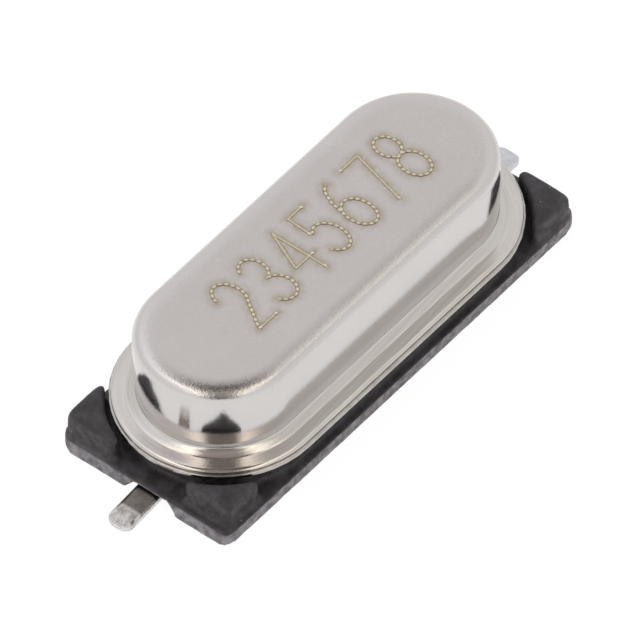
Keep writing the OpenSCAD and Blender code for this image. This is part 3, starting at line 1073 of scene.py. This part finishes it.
# light of the white tent round the part, by direction: height is 1 straight up,
# nearer is 1 toward the camera's side and sideways is 1 to its right
tent = {
    "farLevels": ((0.0, (0.80, 0.795, 0.79)), (0.5, (0.83, 0.82, 0.815)), (0.75, (0.90, 0.885, 0.875)),
                  (0.84, (1.0, 0.97, 0.92)), (1.0, (0.96, 0.92, 0.87))),
    "nearLevels": ((0.0, (0.92, 0.91, 0.90)), (0.3, (0.88, 0.865, 0.85)), (0.6, (0.86, 0.84, 0.82)),
                   (1.0, (0.80, 0.77, 0.74))),
    "nearFrom": (-0.3, 0.2),
    "sideLevels": ((0.0, (1.20, 1.23, 1.33)), (0.35, (1.14, 1.15, 1.22)), (0.5, (1.0,) * 3),
                   (0.64, (0.95,) * 3), (0.74, (0.90,) * 3), (0.87, (0.84,) * 3), (1.0, (0.90,) * 3)),
    "sideHeights": (0.5, 0.85),
    "warmLift": (0.95, 0.86, 0.70),
    "warmHeights": (0.42, 0.6),
    "warmNearness": (-0.3, -0.02),
    "warmOffAxis": (0.58, 0.36),
    "cardLevels": ((0.2, (0.10, 0.088, 0.08)), (0.5, (0.14, 0.122, 0.11)), (0.66, (0.40, 0.365, 0.335)),
                   (0.83, (0.27, 0.245, 0.225)), (1.0, (0.20, 0.18, 0.165))),
    "cardHalfFar": 0.17,
    "cardHalfNear": 0.27,
    "cardWidening": (-0.35, 0.0),
    "cardSoft": 0.07,
    "cardNearness": (-0.60, -0.48),
    "cardHeights": (0.06, 0.2),
    "fillLevel": 0.8,       # what reaches dull surfaces
}


def directionPart(tree, direction, vector):
    node = addNode(tree, "ShaderNodeVectorMath", operation="DOT_PRODUCT")
    node.inputs[1].default_value = vector
    tree.links.new(direction, node.inputs[0])
    return node.outputs["Value"]


def buildWorld():
    world = bpy.data.worlds.new("softTent")
    world.use_nodes = True
    scene.world = world
    tree = world.node_tree
    direction = addNode(tree, "ShaderNodeTexCoord").outputs["Generated"]
    azimuth = math.radians(studio["cameraAzimuth"])
    sideways = directionPart(tree, direction, (math.cos(azimuth), math.sin(azimuth), 0))
    nearer = directionPart(tree, direction, (math.sin(azimuth), -math.cos(azimuth), 0))
    height = directionPart(tree, direction, (0, 0, 1))
    offAxis = mathNode(tree, "ABSOLUTE", sideways)

    farSky = ramp(tree, height, tent["farLevels"])
    nearSky = ramp(tree, height, tent["nearLevels"])
    sky = mixColours(tree, smoothRange(tree, nearer, tent["nearFrom"]), farSky, nearSky)
    lean = ramp(tree, mathNode(tree, "MULTIPLY_ADD", sideways, 0.5, 0.5), tent["sideLevels"])
    leaning = mixColours(tree, 1.0, sky, lean, "MULTIPLY")
    sky = mixColours(tree, smoothRange(tree, height, tent["sideHeights"]), sky, leaning)

    # warm band that lights the long edge of the can
    band = product(tree, smoothRange(tree, height, tent["warmHeights"]),
                   smoothRange(tree, nearer, tent["warmNearness"]))
    band = product(tree, band, smoothRange(tree, offAxis, tent["warmOffAxis"]))
    sky = mixColours(tree, band, sky, mixColours(tree, 1.0, sky, tent["warmLift"], "ADD"))

    # dark card overhead, wider toward the near side
    halfFar, halfNear, soft = tent["cardHalfFar"], tent["cardHalfNear"], tent["cardSoft"]
    widening = smoothRange(tree, nearer, tent["cardWidening"])
    fromCard = mathNode(tree, "MULTIPLY_ADD", widening, halfFar - halfNear, offAxis)
    card = smoothRange(tree, fromCard, (halfFar + soft, halfFar - soft))
    card = product(tree, card, smoothRange(tree, nearer, tent["cardNearness"]))
    card = product(tree, card, smoothRange(tree, height, tent["cardHeights"]))
    cardTone = ramp(tree, mathNode(tree, "MULTIPLY_ADD", nearer, 0.5, 0.5), tent["cardLevels"])
    sky = mixColours(tree, card, sky, cardTone)

    # white behind the part, full strength in mirrors, a little less on dull surfaces
    rays = addNode(tree, "ShaderNodeLightPath").outputs
    sky = mixColours(tree, rays["Is Camera Ray"], sky, (1, 1, 1))
    seen = mathNode(tree, "MAXIMUM", rays["Is Camera Ray"], rays["Is Glossy Ray"])
    seen = mathNode(tree, "MAXIMUM", seen, rays["Is Transmission Ray"])
    fill = tent["fillLevel"]
    strength = mathNode(tree, "MULTIPLY_ADD", seen, 1 - fill, fill)
    background = tree.nodes["Background"]
    tree.links.new(sky, background.inputs["Color"])
    tree.links.new(strength, background.inputs["Strength"])


buildCamera()
buildFloor()
buildWorld()
for softbox in studio["softboxes"]:
    addSoftbox(**softbox)
scene.view_settings.view_transform = "Standard"
print("studio set")
